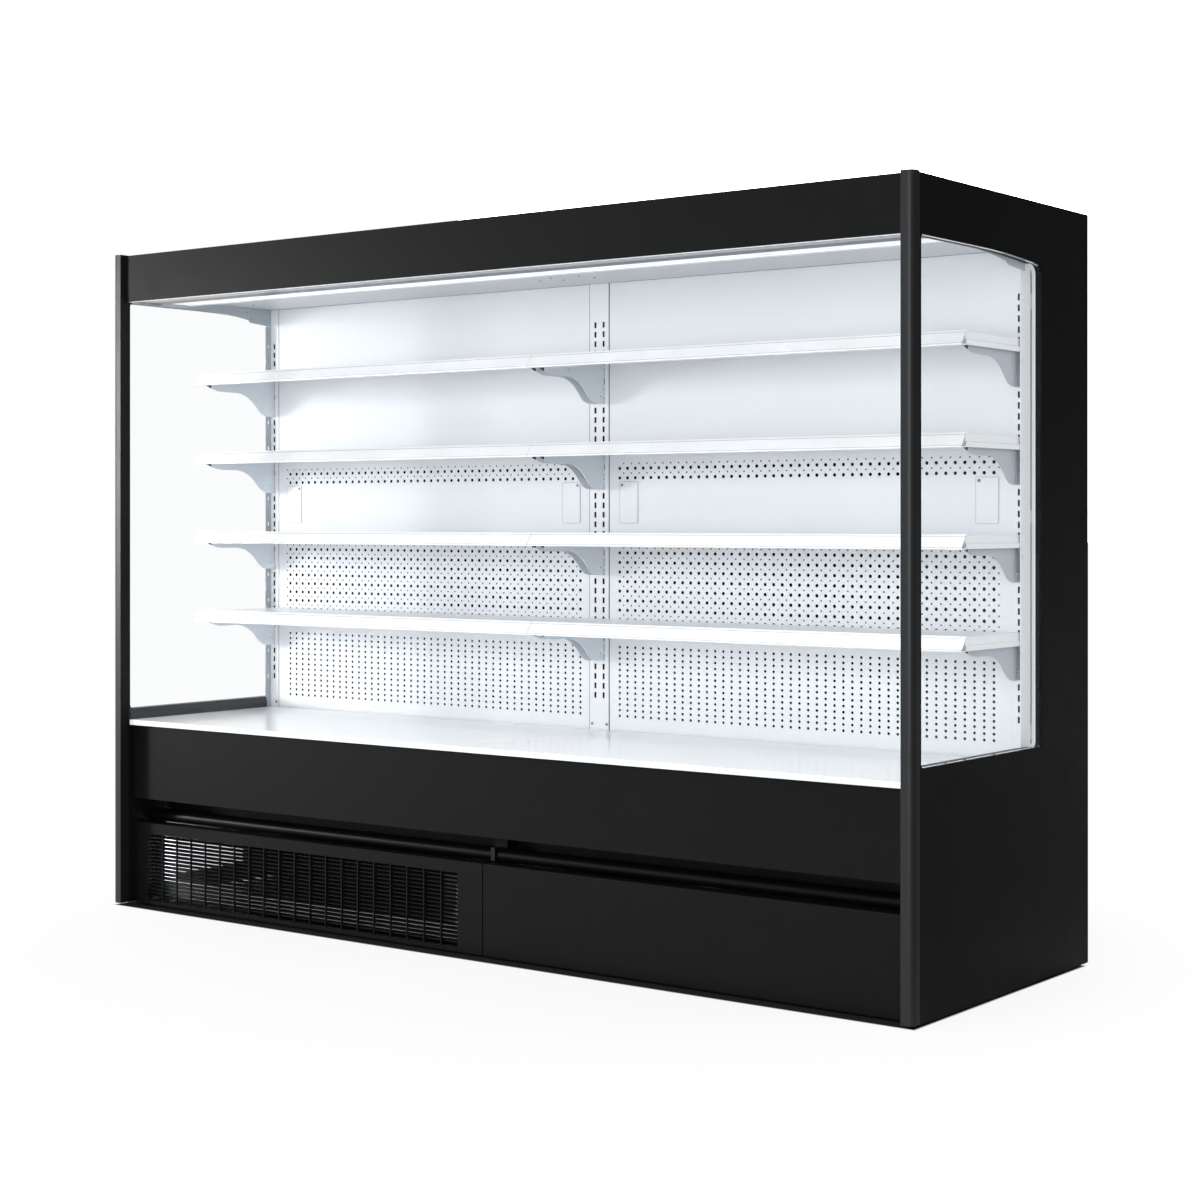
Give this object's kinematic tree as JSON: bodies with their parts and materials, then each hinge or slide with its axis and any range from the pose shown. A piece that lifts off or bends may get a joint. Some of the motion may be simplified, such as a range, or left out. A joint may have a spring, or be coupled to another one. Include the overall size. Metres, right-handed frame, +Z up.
{
  "type": "open multideck display fridge",
  "caption": "Wide open-front chilled display cabinet with hooked bracket shelves on slotted uprights, perforated back panels, glazed end walls and a louvred machine base.",
  "frame": {"origin": "middle of the footprint, on the floor under the feet", "axes": "+X to the right along the front, +Y from the front to the back, +Z up"},
  "size_m": [2.5, 0.86, 1.8],
  "materials": {
    "outer_paint": "satin black powder coat",
    "post_paint": "satin dark grey powder coat",
    "white_paint": "gloss white powder coat",
    "bracket_paint": "satin pale grey powder coat",
    "rail_plastic": "white extruded plastic",
    "diffuser_plastic": "translucent opal plastic",
    "side_glass": "clear double glazing",
    "bead_plastic": "dark grey extruded plastic",
    "grille_plastic": "black moulded plastic",
    "galvanised": "galvanised steel",
    "fin_aluminium": "mill finish fins",
    "compressor_paint": "black enamel shell",
    "receiver_paint": "black enamel shell",
    "copper": "drawn copper tube",
    "fan_plastic": "black moulded plastic",
    "motor_metal": "grey enamel motor case",
    "box_plastic": "grey moulded plastic",
    "tray_plastic": "black moulded plastic",
    "foot_plastic": "black moulded pads on steel studs",
    "screw_steel": "plated steel"
  },
  "bodies": {
    "cabinet": {"air_outlet": "rail_plastic", "base_frame": "galvanised", "bumper_bar": "outer_paint", "canopy_ceiling": "white_paint", "canopy_fascia": "outer_paint", "canopy_roof": "outer_paint", "center_upright": "white_paint", "compressor": "compressor_paint", "condenser_coil": "fin_aluminium", "condenser_shroud": "galvanised", "control_box": "box_plastic", "corner_posts": "post_paint", "drip_tray": "tray_plastic", "duct_access_plates": "white_paint", "end_panel_left": "outer_paint", "end_panel_right": "outer_paint", "end_uprights": "white_paint", "evaporator_coil": "fin_aluminium", "evaporator_fan_plate": "galvanised", "fan_motors": "motor_metal", "fasteners": "screw_steel", "glazing_beads": "bead_plastic", "insulated_back_wall": "outer_paint", "insulated_well": "outer_paint", "light_diffuser": "diffuser_plastic", "light_housing": "white_paint", "liquid_receiver": "receiver_paint", "lower_fascia": "outer_paint", "perforated_back_panels": "white_paint", "plain_back_panels": "white_paint", "refrigerant_lines": "copper", "shelf_brackets": "bracket_paint", "side_glass": "side_glass", "side_liners": "white_paint", "upright_standoffs": "galvanised"},
    "shelf_1_left": {"shelf_tray_1_left": "white_paint", "price_rail_1_left": "rail_plastic"},
    "shelf_1_right": {"shelf_tray_1_right": "white_paint", "price_rail_1_right": "rail_plastic"},
    "shelf_2_left": {"shelf_tray_2_left": "white_paint", "price_rail_2_left": "rail_plastic"},
    "shelf_2_right": {"shelf_tray_2_right": "white_paint", "price_rail_2_right": "rail_plastic"},
    "shelf_3_left": {"shelf_tray_3_left": "white_paint", "price_rail_3_left": "rail_plastic"},
    "shelf_3_right": {"shelf_tray_3_right": "white_paint", "price_rail_3_right": "rail_plastic"},
    "shelf_4_left": {"shelf_tray_4_left": "white_paint", "price_rail_4_left": "rail_plastic"},
    "shelf_4_right": {"shelf_tray_4_right": "white_paint", "price_rail_4_right": "rail_plastic"},
    "deck_left": {"deck_pan_left": "white_paint"},
    "deck_right": {"deck_pan_right": "white_paint"},
    "grille_cover": {"grille_panel": "outer_paint", "grille_louvres": "grille_plastic"},
    "kick_cover": {"kick_panel": "outer_paint"},
    "feet": {"levelling_feet": "foot_plastic"},
    "condenser_rotor": {"condenser_fan": "fan_plastic"},
    "evaporator_rotor_left": {"evaporator_fan_left": "fan_plastic"},
    "evaporator_rotor_right": {"evaporator_fan_right": "fan_plastic"}
  },
  "joints": [
    {"name": "shelf_1_left_lift", "type": "slide", "parent": "cabinet", "child": "shelf_1_left", "axis": [0, 0, 1], "range_m": [0, 0.1]},
    {"name": "shelf_1_right_lift", "type": "slide", "parent": "cabinet", "child": "shelf_1_right", "axis": [0, 0, 1], "range_m": [0, 0.1]},
    {"name": "shelf_2_left_lift", "type": "slide", "parent": "cabinet", "child": "shelf_2_left", "axis": [0, 0, 1], "range_m": [0, 0.1]},
    {"name": "shelf_2_right_lift", "type": "slide", "parent": "cabinet", "child": "shelf_2_right", "axis": [0, 0, 1], "range_m": [0, 0.1]},
    {"name": "shelf_3_left_lift", "type": "slide", "parent": "cabinet", "child": "shelf_3_left", "axis": [0, 0, 1], "range_m": [0, 0.1]},
    {"name": "shelf_3_right_lift", "type": "slide", "parent": "cabinet", "child": "shelf_3_right", "axis": [0, 0, 1], "range_m": [0, 0.1]},
    {"name": "shelf_4_left_lift", "type": "slide", "parent": "cabinet", "child": "shelf_4_left", "axis": [0, 0, 1], "range_m": [0, 0.1]},
    {"name": "shelf_4_right_lift", "type": "slide", "parent": "cabinet", "child": "shelf_4_right", "axis": [0, 0, 1], "range_m": [0, 0.1]},
    {"name": "deck_left_lift", "type": "slide", "parent": "cabinet", "child": "deck_left", "axis": [0, 0, 1], "range_m": [0, 0.12]},
    {"name": "deck_right_lift", "type": "slide", "parent": "cabinet", "child": "deck_right", "axis": [0, 0, 1], "range_m": [0, 0.12]},
    {"name": "grille_cover_pull", "type": "slide", "parent": "cabinet", "child": "grille_cover", "axis": [0, -1, 0], "range_m": [0, 0.25]},
    {"name": "kick_cover_pull", "type": "slide", "parent": "cabinet", "child": "kick_cover", "axis": [0, -1, 0], "range_m": [0, 0.25]},
    {"name": "feet_adjust", "type": "slide", "parent": "cabinet", "child": "feet", "axis": [0, 0, -1], "range_m": [0, 0.02]},
    {"name": "condenser_fan_spin", "type": "hinge", "parent": "cabinet", "child": "condenser_rotor", "pos_m": [-0.535, -0.1487, 0.1573], "axis": [0, 1, 0], "continuous": true},
    {"name": "evaporator_fan_left_spin", "type": "hinge", "parent": "cabinet", "child": "evaporator_rotor_left", "pos_m": [-0.6, -0.1633, 0.428], "axis": [0, 1, 0], "continuous": true},
    {"name": "evaporator_fan_right_spin", "type": "hinge", "parent": "cabinet", "child": "evaporator_rotor_right", "pos_m": [0.6, -0.1633, 0.428], "axis": [0, 1, 0], "continuous": true}
  ]
}
